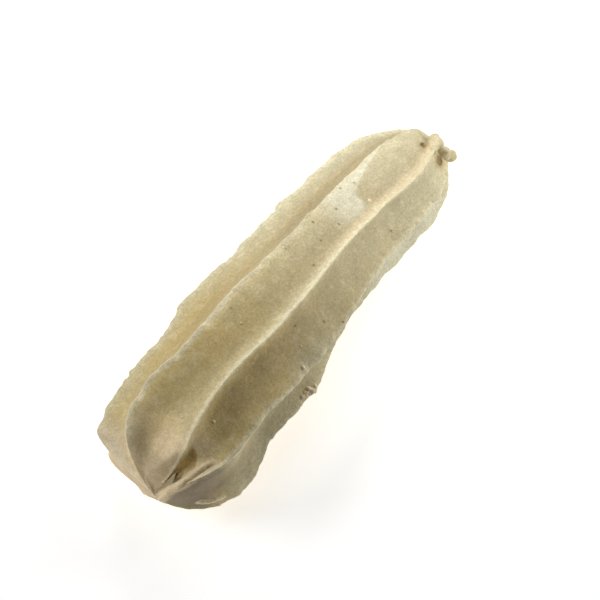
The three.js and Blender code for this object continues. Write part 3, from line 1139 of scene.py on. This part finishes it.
    def trough_marks(self, index: int, x: Array, w: Array, width: Array) -> dict[Mark, Array]:
        """The marks of one trough.

        Args:
            index: the ridge that the trough follows.
            x: places along the churro, in mm.
            w: places across the trough, 0 on this crest and 1 on the next.
            width: the trough's width there, in mm.

        Returns:
            Each mark's value at each place.
        """
        ridge = self.form.ridges[index]
        after = self.form.ridges[(index + 1) % len(self.form.ridges)]
        share, first = self.form.share(x), w < 0.5
        rim = np.where(first, ridge.rim[1], after.rim[0])
        dry = np.where(first, along(ridge.dry, share), along(after.dry, share))
        # Painted shade: strongest on the trough's floor, and across trough 0 all the way up to ridge
        # 1.
        floor = self.form.trough(index, x, w)[2] ** self.shade_power
        floor = self.flank_shade.at(w) if index == 0 else floor
        added = {m: sum(patch.at(index, x, w) for patch in PATCHES[m]) + 0 * x for m in PATCHES}
        return {
            **added,
            Mark.CREST: np.exp(-((np.minimum(w, 1 - w) * width / rim) ** 2)),
            Mark.DRY: dry * self.dry_from.at(x),
            Mark.PAINTED_HOLLOW_SHADE: along(ridge.deep, share) * floor,
            # Painted light and shade: the patches raise and lower the even dimness.
            Mark.PAINTED_LIGHT_AND_SHADE: self.dimness + added[Mark.PAINTED_LIGHT_AND_SHADE],
            Mark.OLIVE: along(self.olive, share) * (1 + added[Mark.OLIVE]),
        }

    def stain(self, points: Array) -> Array:
        """Dark damp dough in and round the holes."""
        total = np.zeros(len(points))
        for pit in (*self.pits, *self.holes()):
            away = np.linalg.norm((points - pit.centre) / pit.radii, axis=1)
            total = np.maximum(total, self.stain_reach.at(away))
        return total

    def holes(self) -> list[Lump]:
        """The pinholes, as small round pits in the skin."""
        size = (self.pinhole_size,) * 3
        return [Lump(tuple(self.form.place(*hole)), size, rings=6, sides=8) for hole in self.pinholes]

    def build(self) -> Object:
        """Makes the dough: cuts the pocket, adds the strips, cuts the pits and marks the skin."""
        piece = new_object("churro_dough", self.body().mesh("churro_dough"))
        merge(piece, [self.pocket.shape()], "DIFFERENCE")
        added = [part.shape() for part in (self.lip, self.flap, self.nub, *self.lumps)]
        merge(piece, added, "UNION")
        holes = joined([hole.shape() for hole in self.holes()])
        merge(piece, [*(pit.shape() for pit in self.pits), holes], "DIFFERENCE")
        drop_specks(piece.data)
        flat = np.empty(3 * len(piece.data.vertices))
        piece.data.vertices.foreach_get("co", flat)
        for mark, values in self.marks(flat.reshape(-1, 3) / MM).items():
            layer = piece.data.attributes.new(mark.value, "FLOAT", "POINT")
            layer.data.foreach_set("value", np.clip(values, 0, 1).astype(np.float32))
        piece.data.shade_smooth()
        piece.data.set_sharp_from_angle(angle=np.radians(self.sharp_edge))
        dress(piece, DoughFinish().material(), self.form.origin)
        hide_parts("churro")
        return piece


@dataclass
class Crumbs:
    """Loose crumbs that stick to the dough.

    places: each one's trough, x, w and radius; cluster: the place and radius of some that stick
    together; sunk: how deep the first kind sit, in radii.
    """

    places: tuple[tuple[int, float, float, float], ...] = (
        (2, -13.7, 0.90, 0.46), (2, -10.9, 0.64, 0.34), (2, -34.4, 0.32, 0.46), (2, -44.8, 0.08, 0.36),
        (1, -15.9, 0.46, 0.28), (1, -3.6, 0.61, 0.25), (1, -37.5, 0.75, 0.27), (1, 22.6, 0.71, 0.62),
        (1, -47.7, 0.97, 0.32),
    )
    cluster: tuple[Row, ...] = (
        (-14.2, -14.9, 10.6, 0.80), (-15.4, -14.7, 10.9, 0.50), (-13.1, -15.1, 10.3, 0.62),
        (-16.6, -14.7, 11.2, 0.36), (-13.7, -15.5, 9.6, 0.50),
    )
    sunk: float = 0.62

    def build(self, form: Form) -> Object:
        """Makes the crumbs as one mesh of uneven lumps.

        Args:
            form: the body that they lie on.

        Returns:
            The piece.
        """
        lumps = [Lump(tuple(place), (size,) * 3, 0.9, 12, 14) for *place, size in self.cluster]
        for trough, x, w, size in self.places:
            place = form.place(trough, x, w)
            out = unit(place - form.centre(np.array(x)))
            lumps.append(Lump(tuple(place - out * self.sunk * size), (size,) * 3, 0.3, 8, 10))
        shape = joined([lump.shape() for lump in lumps])
        piece = new_object("churro_crumbs", shape.mesh("churro_crumbs"))
        dress(piece, CrumbFinish().material(), form.origin)
        return piece


@dataclass(frozen=True)
class Lamp:
    """A soft round lamp that faces the churro."""

    place: Triple
    aim: Triple
    size: float
    power: float

    def build(self) -> None:
        """Makes the lamp; size and places are in mm, and the power is in watts."""
        data = bpy.data.lights.new("lamp", "AREA")
        data.shape = "DISK"
        data.size = self.size * MM
        data.energy = self.power
        aimed("lamp", data, Vector(self.place), Vector(self.aim))


@dataclass
class Studio:
    """The floor, the camera and plain soft light."""

    elevation: float = 65.0
    azimuth: float = -53.4
    distance: float = 350.0
    lens: float = 103.5
    target: Triple = (0.0, -1.8, 11.5)
    floor_size: float = 4000.0
    sky: float = 0.0
    lamps: tuple[Lamp, ...] = (
        Lamp((-244, 329, 287), (0, 0, 10), 260, 1.18),
        Lamp((48, 6, 92), (42, 0, 10), 54, 0.031),
        Lamp((40, 80, 90), (40, 0, 10), 54, 0.041),
        Lamp((100, -80, 60), (20, 0, 10), 70, 0.074),
    )

    def build(self, origin: Triple) -> None:
        """Makes all of it; origin is the form's own place in the frame, in mm."""
        self.floor()
        self.camera(Vector(self.target) + Vector(origin))
        self.light()
        bpy.context.scene.view_settings.view_transform = "Standard"

    def floor(self) -> None:
        """A wide flat floor."""
        corners = np.array([(-1, -1, 0), (1, -1, 0), (1, 1, 0), (-1, 1, 0)]) * self.floor_size / 2
        piece = new_object("floor", Shape(corners, [(0, 1, 2, 3)]).mesh("floor"))
        piece.data.materials.append(FloorFinish().material())

    def camera(self, target: Vector) -> None:
        """A camera that looks at the target, in mm, from above the pinched end's right side."""
        e, a = np.radians(self.elevation), np.radians(self.azimuth)
        back = Vector((np.sin(a) * np.cos(e), -np.cos(a) * np.cos(e), np.sin(e)))
        data = bpy.data.cameras.new("camera")
        data.lens = self.lens
        place = target + back * self.distance
        bpy.context.scene.camera = aimed("camera", data, place, target)

    def light(self) -> None:
        """No sky, but one wide lamp far to the left and three near the torn end."""
        world = bpy.data.worlds.new("sky")
        world.use_nodes = True
        world.node_tree.nodes["Background"].inputs["Strength"].default_value = self.sky
        bpy.context.scene.world = world
        for lamp in self.lamps:
            lamp.build()


def report(piece: Object) -> None:
    """Logs a piece's size."""
    mesh = piece.data
    mesh.calc_loop_triangles()
    LOG.info("%s: %d triangles, %s m", piece.name, len(mesh.loop_triangles), tuple(piece.dimensions))


def main() -> None:
    """Builds the pieces, the floor, the camera and the light."""
    logging.basicConfig(level=logging.INFO, format="%(name)s: %(message)s")
    churro = Churro()
    report(churro.build())
    report(Crumbs().build(churro.form))
    Studio().build(churro.form.origin)


if __name__ == "__main__":
    main()
